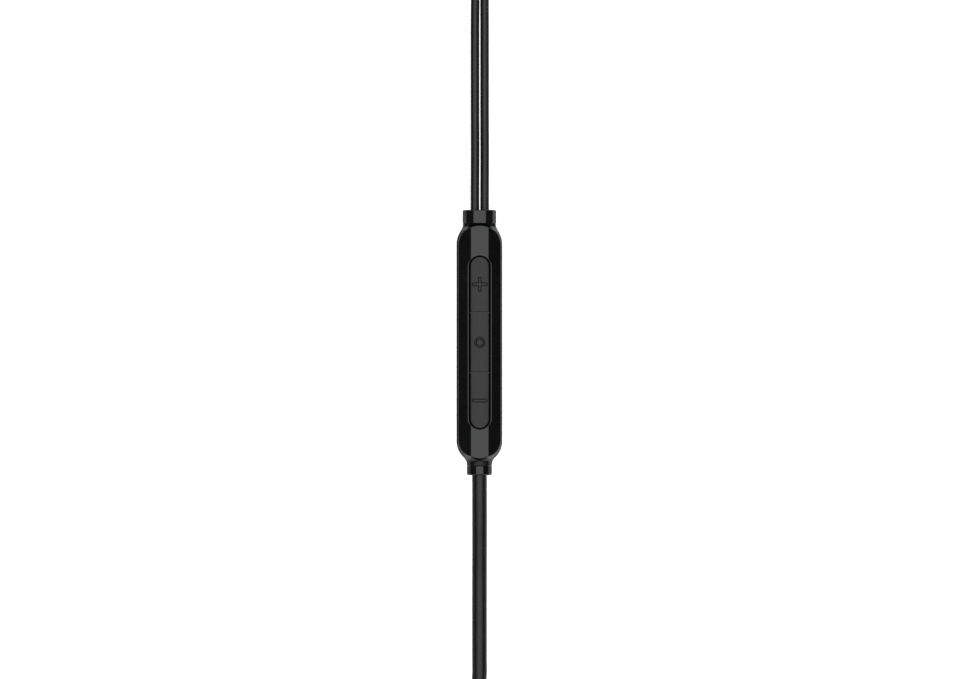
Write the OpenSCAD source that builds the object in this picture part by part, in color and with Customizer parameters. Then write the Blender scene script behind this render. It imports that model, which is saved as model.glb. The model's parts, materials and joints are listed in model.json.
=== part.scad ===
// Wired earphones with an in-line three-key remote.
// The remote lies on its back: +Z is its front, +Y runs towards the earbuds,
// -Y towards the jack plug. The origin is the middle of its flat rear face,
// on the surface that everything lies on. Millimetres.

/* [Remote shell] */
// Overall width of the remote at its parting line
body_w = 7.67; // [7.6:0.01:7.8]
// Thickness of the remote between its front and rear flats
body_t = 5.8; // [5.8:0.02:5.9]
// Width of the flat strip down the front and the rear
flat_w = 3.24; // [3.1:0.02:3.4]
// Distance from the middle to the outer end of the upper gland
top_end = 22.52; // [22.3:0.02:22.8]
// Distance from the middle to the outer end of the lower gland
bottom_end = 22.52; // [22.3:0.02:22.8]

/* [Keys] */
// Width of the key slot in the front cover
slot_w = 3.62; // [3.56:0.02:3.68]
// Length of the key slot over its round ends
slot_l = 29.52; // [29.4:0.02:29.7]
// Gap between the keys and the slot
key_gap = 0.23; // [0.18:0.01:0.25]
// Gap between two neighbouring keys
key_split = 0.12; // [0.1:0.01:0.2]
// How far a key goes down
key_travel = 0.25; // [0.15:0.01:0.25]

/* [Cords] */
// Diameter of each of the two upper cords
upper_d = 1.47; // [1.4:0.01:1.47]
// Distance between the middles of the two upper cords
upper_pitch = 1.66; // [1.6:0.01:1.7]
// Diameter of the lower cord
lower_d = 2.5; // [2.4:0.02:2.5]

/* [Earbuds] */
// Half the distance between the two earbuds' axes
bud_x = 6.4; // [6.2:0.05:6.6]
// Radius of the housing
bud_r = 5.8; // [5.7:0.02:5.9]
// Radius of the sound nozzle
nozzle_r = 2.6; // [2.5:0.02:2.65]
// Largest radius of the silicone tip
tip_r = 6; // [5.9:0.02:6]

/* [Plug] */
// Radius of the jack pin
pin_r = 1.75; // [1.74:0.01:1.76]
// Radius of the moulded grip
grip_r = 3.2; // [3:0.05:3.2]

/* [Hidden] */
fine = 96;

zc = body_t / 2;           // height of the parting line and of the cords' middles
half = body_w / 2;
flat = flat_w / 2;

// Outer section: flat front, slanted facet, drafted side, mirrored below the parting line.
// f is half the flat, b and bz the outer edge of the slanted facet, s half the width, h half the height.
function section(f, b, bz, s, h) =
  [[-f, h], [f, h], [b, bz], [s, 0], [b, -bz], [f, -h], [-f, -h], [-b, -bz], [-s, 0], [-b, bz]];
body_section = section(flat, half - 0.345, zc - 1.17, half, zc);
room_section = section(1.3, 2.75, 1.1, half - 0.885, zc - 0.9);
collar_section = section(1.06, 2.13, 1.53, 2.79, 2.2);
neck_section = section(0.63, 1.445, 1.24, 2.08, 1.75);
saddle_section = section(1, 2.4, 1.35, 3.7, 2.2);

// Round ends of the body: drafted discs that narrow towards the front and the rear
top_c = 16.09;  top_r = [4.3, 3.81];
low_c = -15.6;  low_r = [4.38, 4];

// Where the outer parts of the glands start
top_seat = 19.3;
low_seat = -20.4;
room_l = 17.2;             // half the length of the room inside

// Keys: where the two splits lie, and where each key's stem stands
split_up = 5.35;
split_down = -4.85;
stem_y = [9.9, 0, -9.86];
board_z = 1.9;             // underside of the circuit board
board_t = 0.5;
dome_t = 0.3;
flange_z = 3.75;           // underside of a key's flange

// Half the width of the shoulder that runs from the body into the neck
function smooth(u) = u * u * (3 - 2 * u);
function shoulder(y) = 2.08 + 1.52 * smooth((y + 20.7) / 2.8);

// Radii of the turns at the folds of the two hanks: inner, middle and outer turn
up_turn = [3.7, 5.17, 6.64];
low_turn = [5.5, 8, 10.5];
up_hank = [66, 95.4];      // nearest and furthest end along Y
low_hank = [-67, -113];
up_waist = 4.5;            // half the width where the tie draws the runs together
low_waist = 7.6;
up_tie_t = 0.6;
low_tie_t = 0.8;
up_tie_l = 6;
low_tie_l = 8;
up_hank_h = 5.9;
low_hank_h = 7.5;
low_hank_x = -2.9;         // the lower hank lies this far to the side, the plug on its other side
up_hank_x = -2.15;         // the upper hank and the earbuds lie this far to the side, clear of the plug's line

// Routes of the cords
run_x = upper_pitch / 2;
left_route = [[-run_x, top_end, zc], [-run_x, 25, zc], [-run_x, 28.5, 2.7], [-run_x, 32, 2.1],
  [-run_x, 35.5, 1.35], [-run_x, 39, 0.85], [-run_x, 43, 0.74], [-run_x, 47, 0.74], [-run_x, 51, 0.74],
  [-run_x, 55, 0.74], [-run_x, 59, 0.74], [-1.4, 62.1, 0.74], [-2.9, 64.8, 0.74], [-4.8, 66.5, 0.74],
  [-6.6, 68.2, 0.74], [-8.2, 70.9, 0.74], [-8.75, 74, 0.74]];
right_route = [[run_x, top_end, zc], [run_x, 25, zc], [run_x, 28.5, 2.7], [run_x, 32, 2.1],
  [run_x, 35.5, 1.35], [run_x, 39, 0.85], [run_x, 43, 0.74], [run_x, 47, 0.74], [run_x, 51, 0.74],
  [run_x, 55, 0.74], [run_x, 58.6, 0.8], [1.1, 61.5, 1.75], [1.9, 64.3, 3.1], [3.1, 67.6, 3.65],
  [4.2, 71, 3.68], [4.45, 74, 3.68]];
left_tail_route = [[-8.79, 87, 2.2], [-8.79, 90.5, 2.35], [-8.75, 94, 3.6], [-8.55, 97.3, 5.5], [-8.55, 99.2, 6], [-8.55, 101, 6]];
right_tail_route = [[4.49, 87, 5.15], [4.49, 90.5, 5.2], [4.45, 94, 5.45], [4.25, 97.3, 5.9], [4.25, 99.2, 6], [4.25, 101, 6]];
lower_route = [[0, -bottom_end, zc], [0, -26, zc], [0, -30, 2.6], [0, -34.5, 1.9], [0, -39, 1.38],
  [0, -44, 1.25], [0, -49, 1.25], [0, -54, 1.25], [0, -58.6, 1.25], [-1.8, -62.3, 1.25], [-5.6, -65.9, 1.25],
  [-9.7, -69.6, 1.25], [-12.4, -74.3, 1.25], [-13.4, -80, 1.25]];
lower_tail_route = [[-13.4, -100, 3.75], [-13.4, -105, 3.7], [-12.3, -110, 3.2], [-9.4, -114.5, 2.2],
  [-5.4, -117.2, 1.5], [-0.6, -118.1, 1.26], [4.1, -117.2, 1.4], [8.3, -114.5, 1.9], [11.1, -110.5, 2.7],
  [12.25, -106.5, 3.2], [12.25, -104, 3.2]];
plug_x = 12.25;
plug_y = -104;             // where the cord goes into the plug's strain relief

black = [0.09, 0.09, 0.1];
rubber_black = [0.13, 0.13, 0.13];
dark = [0.2, 0.2, 0.21];
board_green = [0.06, 0.28, 0.16];
steel = [0.72, 0.73, 0.75];
gold = [0.85, 0.68, 0.35];

// ---- shared shapes ----

// A section drawn in X and Z, drawn out along Y from y0 to y1 around the parting line
module along_y(points, y0, y1)
  translate([0, y1, zc]) rotate([90, 0, 0]) linear_extrude(y1 - y0) polygon(points);

// A profile of [radius, distance along Y] points turned around an axis through [x, z]
module turned(points, x, z)
  translate([x, 0, z]) rotate([-90, 0, 0]) rotate_extrude($fn = fine) polygon(points);

// A bar with round ends along Y
module stadium(w, l, h) linear_extrude(h) union() {
  square([w, l - w], center = true);
  for (s = [-1, 1]) translate([0, s * (l - w) / 2]) circle(d = w, $fn = fine);
}

// A cord: one ring of 8 points at each point of its route, square to the route
function unit(v) = v / norm(v);
function heading(p, i) = unit(p[min(i + 1, len(p) - 1)] - p[max(i - 1, 0)]);
function ring(p, i, r) = let (t = heading(p, i), a = unit(cross(t, [0, 0, 1])), b = cross(a, t))
  [for (k = [0 : 7]) p[i] + r * (cos(45 * k) * a + sin(45 * k) * b)];
module cord(p, d) {
  n = len(p);
  points = [for (i = [0 : n - 1]) each ring(p, i, d / 2)];
  sides = [for (i = [0 : n - 2]) for (k = [0 : 7])
    [8 * i + k, 8 * i + (k + 1) % 8, 8 * (i + 1) + (k + 1) % 8, 8 * (i + 1) + k]];
  ends = [[for (k = [7 : -1 : 0]) k], [for (k = [0 : 7]) 8 * (n - 1) + k]];
  polyhedron(points, concat([for (f = sides) [f[3], f[2], f[1], f[0]]], [[for (k = [0 : 7]) k]], [[for (k = [7 : -1 : 0]) 8 * (n - 1) + k]]));
}

// A folded hank: a flat bundle with round ends, drawn in at the waist where its tie goes round it
module hank(r, ends, h, waist, tie_l, tie_t, y_mid) {
  w = 2 * r;
  l = abs(ends[1] - ends[0]);
  difference() {
    translate([0, y_mid, 0]) stadium(w, l, h);
    for (s = [-1, 1]) translate([s > 0 ? waist : -waist - w, y_mid - tie_l / 2 - 0.2, -1]) cube([w, tie_l + 0.4, h + 2]);
    translate([-w, y_mid - tie_l / 2 - 0.2, -1]) cube([2 * w, tie_l + 0.4, 1 + tie_t]);
  }
}

// The band round a hank's waist, with its free end lapped on top
module tie(waist, h, tie_l, tie_t, y_mid) {
  difference() {
    translate([-waist - tie_t, y_mid - tie_l / 2, 0]) cube([2 * (waist + tie_t), tie_l, h + tie_t]);
    translate([-waist, y_mid - tie_l / 2 - 1, tie_t]) cube([2 * waist, tie_l + 2, h - tie_t]);
  }
}

// ---- remote ----

// Outer body of the remote, both halves
module body_solid() {
  intersection() {
    along_y(body_section, low_c - low_r[0] - 1, top_c + top_r[0] + 1);
    union() {
      translate([-half - 1, low_c, -1]) cube([body_w + 2, top_c - low_c, body_t + 2]);
      for (e = [[top_c, top_r], [low_c, low_r]]) translate([0, e[0], zc]) {
        cylinder(h = zc, r1 = e[1][0], r2 = e[1][1], $fn = fine);
        mirror([0, 0, 1]) cylinder(h = zc, r1 = e[1][0], r2 = e[1][1], $fn = fine);
      }
    }
  }
  intersection() {
    along_y(saddle_section, -20.9, -17);
    translate([0, 0, -1]) linear_extrude(body_t + 2) polygon(concat(
      [for (i = [0 : 9]) [shoulder(-20.7 + 0.3 * i), -20.7 + 0.3 * i]],
      [[3.6, -17], [-3.6, -17]],
      [for (i = [9 : -1 : 0]) [-shoulder(-20.7 + 0.3 * i), -20.7 + 0.3 * i]]));
  }
}

// What is cut from the body: the room inside and the seats of the two glands
module body_room() {
  along_y(room_section, -room_l, room_l);
  along_y(collar_section, top_seat, top_seat + 4);
  along_y(neck_section, low_seat - 4, low_seat);
  translate([-1.8, room_l - 0.1, zc - 1.2]) cube([3.6, top_seat - room_l + 0.2, 2.4]);
  translate([-1.4, low_seat - 0.1, zc - 1.1]) cube([2.8, -room_l - low_seat + 0.2, 2.2]);
}

module front_cover() color(black) difference() {
  intersection() {
    body_solid();
    translate([-10, -30, zc]) cube([20, 60, 10]);
  }
  body_room();
  translate([0, 0, zc + 0.9]) stadium(slot_w, slot_l, 6);
}

module rear_cover() color(black) difference() {
  union() {
    difference() {
      intersection() {
        body_solid();
        translate([-10, -30, zc - 10]) cube([20, 60, 10]);
      }
      body_room();
    }
    // rails under the circuit board
    for (s = [-1, 1]) translate([s > 0 ? 1.8 : -2.4, -11, 0.9]) cube([0.6, 22, board_z - 0.9]);
  }
  // port of the microphone
  translate([0, -12.7, -1]) cylinder(h = 3, r = 0.45, $fn = fine);
}

// Silhouette of all three keys from the front, cut to one key between y0 and y1
module key_band(y0, y1, w, l, z0, z1) intersection() {
  translate([0, 0, z0]) stadium(w, l, z1 - z0);
  translate([-10, y0, z0 - 1]) cube([20, y1 - y0, z1 - z0 + 2]);
}

module key(y0, y1, y_stem) {
  key_w = slot_w - 2 * key_gap;
  key_l = slot_l - 2 * key_gap - 0.32;
  intersection() {
    key_band(y0, y1, key_w, key_l, flange_z, body_t + 1);
    // gentle crown across the key
    translate([0, 30, body_t + 0.05 - 12.5]) rotate([90, 0, 0]) cylinder(h = 60, r = 12.5, $fn = fine * 2);
  }
  // flange that keeps the key in
  translate([-2.3, max(y0, -14.8), flange_z]) cube([4.6, min(y1, 14.8) - max(y0, -14.8), 0.4]);
  translate([0, y_stem, 3]) cylinder(h = flange_z - 3 + 0.1, r = 0.6, $fn = fine);
}

// The marks stand a tenth of a millimetre proud of the keys
module volume_up_key() color(dark) {
  key(split_up + key_split / 2, 20, stem_y[0]);
  translate([-1.3, stem_y[0] - 0.25, body_t - 0.1]) cube([2.6, 0.5, 0.2]);
  translate([-0.25, stem_y[0] - 1.33, body_t - 0.1]) cube([0.5, 2.66, 0.2]);
}

module call_key() color(dark) {
  key(split_down + key_split / 2, split_up - key_split / 2, stem_y[1]);
  translate([0, stem_y[1], body_t - 0.1]) difference() {
    cylinder(h = 0.2, r = 0.9, $fn = fine);
    translate([0, 0, -0.5]) cylinder(h = 2, r = 0.51, $fn = fine);
  }
}

module volume_down_key() color(dark) {
  key(-20, split_down - key_split / 2, stem_y[2]);
  translate([-1.3, stem_y[2] - 0.25, body_t - 0.1]) cube([2.6, 0.5, 0.2]);
}

// Rubber mat between the keys and the switches
module key_mat() color(rubber_black) difference() {
  union() {
    translate([-2.75, -15, 3.2]) cube([5.5, 30, 0.25]);
    for (s = [-1, 1]) translate([s > 0 ? 2.1 : -2.5, -14, board_z + board_t]) cube([0.4, 28, 3.25 - board_z - board_t]);
  }
  for (y = stem_y) translate([0, y, 3]) cylinder(h = 1, r = 0.8, $fn = fine);
}

module circuit_board() color(board_green)
  translate([-2.55, -14.5, board_z]) cube([5.1, 29, board_t]);

// Snap dome of one switch
module dome(y) translate([0, y, board_z + board_t]) {
  cylinder(h = 0.12, r = 1.5, $fn = fine);
  translate([0, 0, 0.12]) cylinder(h = dome_t - 0.12, r1 = 1.3, r2 = 0.7, $fn = fine);
}
module up_dome() color(steel) dome(stem_y[0]);
module call_dome() color(steel) dome(stem_y[1]);
module down_dome() color(steel) dome(stem_y[2]);

module control_chip() color(black)
  translate([-1, 3.7, board_z + board_t]) cube([2, 2.4, 0.55]);

module microphone() color(gold)
  translate([-1.3, -13.7, 1.15]) cube([2.6, 2, board_z - 1.15]);

module microphone_gasket() color(rubber_black) translate([0, -12.7, 0.9]) difference() {
  cylinder(h = 0.25, r = 0.95, $fn = fine);
  translate([0, 0, -1]) cylinder(h = 3, r = 0.45, $fn = fine);
}

// Rubber sleeve moulded round the two upper cords, and its flange inside the remote
module upper_gland() color(black) {
  along_y(collar_section, top_seat, top_end);
  translate([-1.8, room_l - 0.1, zc - 1.2]) cube([3.6, top_seat - room_l + 0.1, 2.4]);
  translate([-2.3, room_l - 0.6, zc - 1.5]) cube([4.6, 0.6, 3]);
}

module lower_gland() color(black) {
  along_y(neck_section, -bottom_end, low_seat);
  translate([-1.4, low_seat, zc - 1.1]) cube([2.8, -room_l - low_seat + 0.1, 2.2]);
  translate([-2.1, -room_l, zc - 1.4]) cube([4.2, 0.6, 2.8]);
}

// Crimps that hold the cords' cores behind the glands
module upper_crimp() color(gold) translate([-1.6, 15.1, 2.3]) cube([3.2, room_l - 0.6 - 15.1, 1.4]);
module lower_crimp() color(gold) translate([-1.2, -room_l + 0.6, 2.3]) cube([2.4, room_l - 0.6 - 15.1, 1.4]);

// Enamelled wires from the crimps to the pads of the circuit board
module wires(y0, y1) for (x = [-1.05, -0.35, 0.35, 1.05])
  translate([x, y1, board_z + board_t + 0.19]) rotate([90, 0, 0]) cylinder(h = y1 - y0, r = 0.17, $fn = 24);
module upper_wires() color([0.6, 0.25, 0.12]) wires(12.6, 15.1);
module lower_wires() color([0.6, 0.25, 0.12]) wires(-15.1, -12.6);

// ---- cords, hanks and ties ----

module left_cord() color(black) cord(left_route, upper_d);
module right_cord() color(black) cord(right_route, upper_d);
module left_tail() color(black) cord(left_tail_route, upper_d);
module right_tail() color(black) cord(right_tail_route, upper_d);
module lower_cord() color(black) cord(lower_route, lower_d);
module lower_tail() color(black) cord(lower_tail_route, lower_d);

module upper_hank() color(black) translate([up_hank_x, 0, 0])
  hank(up_turn[2] + 0.735, up_hank, up_hank_h, up_waist, up_tie_l, up_tie_t, (up_hank[0] + up_hank[1]) / 2);
module lower_hank() color(black) translate([low_hank_x, 0, 0])
  hank(low_turn[2] + 1.25, low_hank, low_hank_h, low_waist, low_tie_l, low_tie_t, (low_hank[0] + low_hank[1]) / 2);
module upper_tie() color(rubber_black) translate([up_hank_x, 0, 0])
  tie(up_waist, up_hank_h, up_tie_l, up_tie_t, (up_hank[0] + up_hank[1]) / 2);
module lower_tie() color(rubber_black) translate([low_hank_x, 0, 0])
  tie(low_waist, low_hank_h, low_tie_l, low_tie_t, (low_hank[0] + low_hank[1]) / 2);

// ---- jack plug: its pin points to +Y, beside the lower hank ----

pin_y = plug_y + 25;       // shoulder that the pin stands on
module plug_relief() color(rubber_black)
  turned([[0, plug_y], [1.6, plug_y], [2.3, plug_y + 7.5], [0, plug_y + 7.5]], plug_x, grip_r);
module plug_grip() color(rubber_black)
  turned([[0, plug_y + 7.5], [2.6, plug_y + 7.5], [grip_r - 0.1, plug_y + 9], [grip_r, plug_y + 12], [grip_r, pin_y - 1.2],
    [grip_r - 0.5, pin_y - 0.4], [2.3, pin_y], [0, pin_y]], plug_x, grip_r);

// Insulating core of the pin, flush with the contacts where it separates them
core_r = 1.15;
module plug_core() color(rubber_black)
  turned([[0, pin_y], [core_r, pin_y], [core_r, pin_y + 5], [pin_r, pin_y + 5], [pin_r, pin_y + 5.5], [core_r, pin_y + 5.5],
    [core_r, pin_y + 7.4], [pin_r, pin_y + 7.4], [pin_r, pin_y + 7.9], [core_r, pin_y + 7.9],
    [core_r, pin_y + 9.8], [pin_r, pin_y + 9.8], [pin_r, pin_y + 10.3], [0, pin_y + 10.3]], plug_x, grip_r);
module contact(y0, y1) color(gold) turned([[core_r, y0], [pin_r, y0], [pin_r, y1], [core_r, y1]], plug_x, grip_r);
module plug_sleeve() contact(pin_y, pin_y + 5);
module plug_ring_b() contact(pin_y + 5.5, pin_y + 7.4);
module plug_ring_a() contact(pin_y + 7.9, pin_y + 9.8);
module plug_tip() color(gold)
  turned([[0, pin_y + 10.3], [pin_r, pin_y + 10.3], [pin_r, pin_y + 10.9], [1.3, pin_y + 11.5], [1.7, pin_y + 12.5],
    [0.75, pin_y + 13.8], [0, pin_y + 14]], plug_x, grip_r);

// ---- earbuds: s is -1 for the left one and 1 for the right one, their nozzles point to +Y ----

bud_y = 101;               // where the cord goes into the earbud's strain relief
module bud(points, s) turned([for (p = points) [p[0], bud_y + p[1]]], up_hank_x + s * bud_x, tip_r);

module relief(s) color(rubber_black)
  bud([[0, 0], [1.3, 0], [2, 9], [1.5, 9], [1.5, 10], [2.2, 10], [2.2, 10.6], [0, 10.6]], s);
module rear_shell(s) color(black)
  bud([[1.5, 9], [2.4, 9], [3.6, 9.8], [4.8, 11.2], [5.5, 12.9], [bud_r, 15], [bud_r, 18], [5, 18], [5, 14.6],
    [4.4, 12.6], [3.4, 11.2], [2.2, 10], [1.5, 10]], s);
module front_shell(s) color(dark)
  bud([[5, 18], [bud_r, 18], [bud_r, 19.6], [5.4, 20.9], [4.6, 21.9], [3.4, 22.7], [nozzle_r, 23.2],
    [nozzle_r, 27.4], [nozzle_r + 0.25, 27.4], [nozzle_r + 0.25, 28.2], [1.9, 28.2], [1.9, 22.6], [3.4, 21.6], [4.6, 20.4], [5, 19.4]], s);
module knot(s) color(gold)
  bud([[0, 10.6], [1.4, 10.6], [1.6, 11.2], [1.4, 12.4], [0, 12.6]], s);
module driver_frame(s) color(steel)
  bud([[1, 15], [4.9, 15], [4.9, 19], [4.5, 19], [4.5, 15.4], [1, 15.4]], s);
module magnet(s) color(steel)
  bud([[0, 15.4], [3.3, 15.4], [3.3, 17.4], [0, 17.4]], s);
module diaphragm(s) color(gold)
  bud([[0, 18.9], [2, 18.7], [2, 17.8], [2.15, 17.8], [2.15, 18.5], [4.5, 18.5], [4.5, 18.7], [2.2, 18.8], [0, 19.1]], s);
module nozzle_mesh(s) color(steel)
  bud([[0, 27.9], [1.9, 27.9], [1.9, 28.1], [0, 28.1]], s);
// Silicone tip: a sleeve over the nozzle, and a soft dome folded back around it
module ear_tip(s) color(rubber_black)
  bud([[2.9, 23.7], [3.5, 23.7], [3.5, 28.6], [4.2, 28.4], [4.9, 27.7], [5.35, 26.6], [5.55, 25.2], [5.5, 23.6],
    [5.9, 23.5], [tip_r, 25.2], [5.8, 26.9], [5.3, 28.3], [4.5, 29.4], [3.5, 30.1], [2.7, 30.3], [2.2, 30.1],
    [2.2, 29.2], [2.9, 28.6]], s);

module left_relief() relief(-1);
module left_rear_shell() rear_shell(-1);
module left_front_shell() front_shell(-1);
module left_knot() knot(-1);
module left_driver_frame() driver_frame(-1);
module left_magnet() magnet(-1);
module left_diaphragm() diaphragm(-1);
module left_mesh() nozzle_mesh(-1);
module left_ear_tip() ear_tip(-1);
module right_relief() relief(1);
module right_rear_shell() rear_shell(1);
module right_front_shell() front_shell(1);
module right_knot() knot(1);
module right_driver_frame() driver_frame(1);
module right_magnet() magnet(1);
module right_diaphragm() diaphragm(1);
module right_mesh() nozzle_mesh(1);
module right_ear_tip() ear_tip(1);

front_cover();
rear_cover();
volume_up_key();
call_key();
volume_down_key();
key_mat();
circuit_board();
up_dome();
call_dome();
down_dome();
control_chip();
microphone();
microphone_gasket();
upper_gland();
lower_gland();
upper_crimp();
lower_crimp();
upper_wires();
lower_wires();
left_cord();
right_cord();
upper_hank();
left_tail();
right_tail();
upper_tie();
lower_cord();
lower_hank();
lower_tail();
lower_tie();
plug_relief();
plug_grip();
plug_core();
plug_sleeve();
plug_ring_b();
plug_ring_a();
plug_tip();
left_relief();
left_rear_shell();
left_front_shell();
left_knot();
left_driver_frame();
left_magnet();
left_diaphragm();
left_mesh();
left_ear_tip();
right_relief();
right_rear_shell();
right_front_shell();
right_knot();
right_driver_frame();
right_magnet();
right_diaphragm();
right_mesh();
right_ear_tip();
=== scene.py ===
import json
import math

import bmesh
import bpy
import numpy as np
from mathutils import Matrix, Vector

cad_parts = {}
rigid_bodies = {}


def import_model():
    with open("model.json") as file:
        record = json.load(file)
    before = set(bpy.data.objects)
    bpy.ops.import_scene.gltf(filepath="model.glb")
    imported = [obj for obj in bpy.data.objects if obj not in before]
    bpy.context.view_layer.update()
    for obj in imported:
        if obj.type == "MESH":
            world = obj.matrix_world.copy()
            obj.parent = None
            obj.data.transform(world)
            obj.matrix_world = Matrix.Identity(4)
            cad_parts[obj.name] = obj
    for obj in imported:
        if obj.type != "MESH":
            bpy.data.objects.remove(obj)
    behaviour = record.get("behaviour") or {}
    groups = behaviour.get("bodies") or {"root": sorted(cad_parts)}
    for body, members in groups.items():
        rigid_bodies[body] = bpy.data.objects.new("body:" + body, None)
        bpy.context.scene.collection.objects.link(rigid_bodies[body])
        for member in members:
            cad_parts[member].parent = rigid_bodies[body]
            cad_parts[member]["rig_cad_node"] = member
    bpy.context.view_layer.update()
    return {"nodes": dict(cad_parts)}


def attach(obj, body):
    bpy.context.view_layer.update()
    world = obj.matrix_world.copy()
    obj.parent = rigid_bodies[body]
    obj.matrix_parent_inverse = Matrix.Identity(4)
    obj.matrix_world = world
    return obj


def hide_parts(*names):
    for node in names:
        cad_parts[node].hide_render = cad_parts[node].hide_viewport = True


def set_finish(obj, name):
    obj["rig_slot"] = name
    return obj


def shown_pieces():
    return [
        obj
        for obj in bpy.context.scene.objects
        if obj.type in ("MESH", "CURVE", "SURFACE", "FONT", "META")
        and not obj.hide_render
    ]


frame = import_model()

MM = 0.001
scene = bpy.context.scene
nodes = frame["nodes"]
TOP, LOW, MID = 22.52, -22.52, 2.9          # ends of the remote and height of its parting line, mm


# ---------------------------------------------------------------- camera

PIXEL = 0.17                                  # mm of the remote's middle plane per pixel of the picture
WIDE, HIGH = 960, 679
DISTANCE = 1000.0
YAW = math.radians(1.2)
aim = Vector((0.10, 0.51, MID))
camera_data = bpy.data.cameras.new("camera")
camera_data.sensor_fit = "HORIZONTAL"
camera_data.sensor_width = 36.0
camera_data.lens = 36.0 * DISTANCE / (PIXEL * WIDE)
camera_data.clip_start, camera_data.clip_end = 0.05, 20.0
camera = bpy.data.objects.new("camera", camera_data)
scene.collection.objects.link(camera)
back = Vector((-math.sin(YAW), 0.0, math.cos(YAW)))
side = Vector((math.cos(YAW), 0.0, math.sin(YAW)))
camera.matrix_world = Matrix.Translation((aim + back * DISTANCE) * MM) @ Matrix((
    (side.x, 0.0, back.x), (side.y, 1.0, back.y), (side.z, 0.0, back.z))).to_4x4()
scene.camera = camera


# ---------------------------------------------------------------- cords

def dense(points, step=0.35):
    """A smooth line through the points (centripetal Catmull-Rom), with points about step apart."""
    p = [np.array(q, float) for q in points]
    p = [2 * p[0] - p[1]] + p + [2 * p[-1] - p[-2]]
    out = []
    for i in range(1, len(p) - 2):
        p0, p1, p2, p3 = p[i - 1:i + 3]
        t0 = 0.0
        t1 = t0 + np.linalg.norm(p1 - p0) ** 0.5
        t2 = t1 + np.linalg.norm(p2 - p1) ** 0.5
        t3 = t2 + np.linalg.norm(p3 - p2) ** 0.5
        n = max(2, int(math.ceil(np.linalg.norm(p2 - p1) / step)))
        for t in np.linspace(t1, t2, n, endpoint=False):
            a1 = (t1 - t) / (t1 - t0) * p0 + (t - t0) / (t1 - t0) * p1
            a2 = (t2 - t) / (t2 - t1) * p1 + (t - t1) / (t2 - t1) * p2
            a3 = (t3 - t) / (t3 - t2) * p2 + (t - t2) / (t3 - t2) * p3
            b1 = (t2 - t) / (t2 - t0) * a1 + (t - t0) / (t2 - t0) * a2
            b2 = (t3 - t) / (t3 - t1) * a2 + (t - t1) / (t3 - t1) * a3
            out.append((t2 - t) / (t2 - t1) * b1 + (t - t1) / (t2 - t1) * b2)
    out.append(p[-2])
    return np.array(out)


def even(line, step):
    """The same line with points step apart."""
    along = np.concatenate([[0], np.cumsum(np.linalg.norm(np.diff(line, axis=0), axis=1))])
    at = np.linspace(0, along[-1], int(round(along[-1] / step)) + 1)
    return np.stack([np.interp(at, along, line[:, k]) for k in range(3)], axis=1)


def smooth01(u):
    u = np.clip(u, 0.0, 1.0)
    return u * u * (3 - 2 * u)


def hank(slots, near, far, start, waist, middle_x=0.0, turn_side=-1):
    """The middle line of a hank's windings, loop after loop, each loop moving over to the next slot where that is free.
    slots are (radius, height) pairs; near and far are the fold centres along Y; waist is (middle, half length, pull, lift, squeeze)."""
    leg = 0.237
    loops = len(slots) - 1
    wide = (0.85 - 0.24) / loops
    s = np.arange(start, loops + leg, 0.004)
    k = np.minimum(np.floor(s).astype(int), loops)
    u = s - k
    r0 = np.array([q[0] for q in slots])
    z0 = np.array([q[1] for q in slots])
    begin = 0.24 + (loops - 1 - k) * wide
    w = smooth01((u - begin) / wide)
    nxt = np.minimum(k + 1, loops)
    r = r0[k] * (1 - w) + r0[nxt] * w
    z = z0[k] * (1 - w) + z0[nxt] * w
    way = 1.0 if far > near else -1.0
    x, y = np.zeros_like(s), np.zeros_like(s)
    a = u < leg
    x[a], y[a] = -r[a], near + (far - near) * u[a] / leg
    b = (u >= leg) & (u < 0.5)
    t = (u[b] - leg) / (0.5 - leg) * math.pi
    x[b], y[b] = -r[b] * np.cos(t), far + way * r[b] * np.sin(t)
    c = (u >= 0.5) & (u < 0.5 + leg)
    x[c], y[c] = r[c], far + (near - far) * (u[c] - 0.5) / leg
    d = u >= 0.5 + leg
    t = (u[d] - 0.5 - leg) / (0.5 - leg) * math.pi
    x[d], y[d] = r[d] * np.cos(t), near - way * r[d] * np.sin(t)
    middle, half, pull, lift, squeeze = waist
    bump = np.where(np.abs(y - middle) < half, np.cos((y - middle) / half * math.pi / 2) ** 2, 0.0)
    x = x - np.sign(x) * np.minimum(pull, np.abs(x)) * bump
    z = z * (1 - bump) + (lift + z * squeeze) * bump
    return np.stack([middle_x - x * turn_side, y, z], axis=1)


def joined(*parts):
    """Several lines as one, evened out where they meet."""
    line = even(np.concatenate(parts), 0.3)
    for _ in range(6):
        line[1:-1] = 0.25 * line[:-2] + 0.5 * line[1:-1] + 0.25 * line[2:]
    return line


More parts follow.
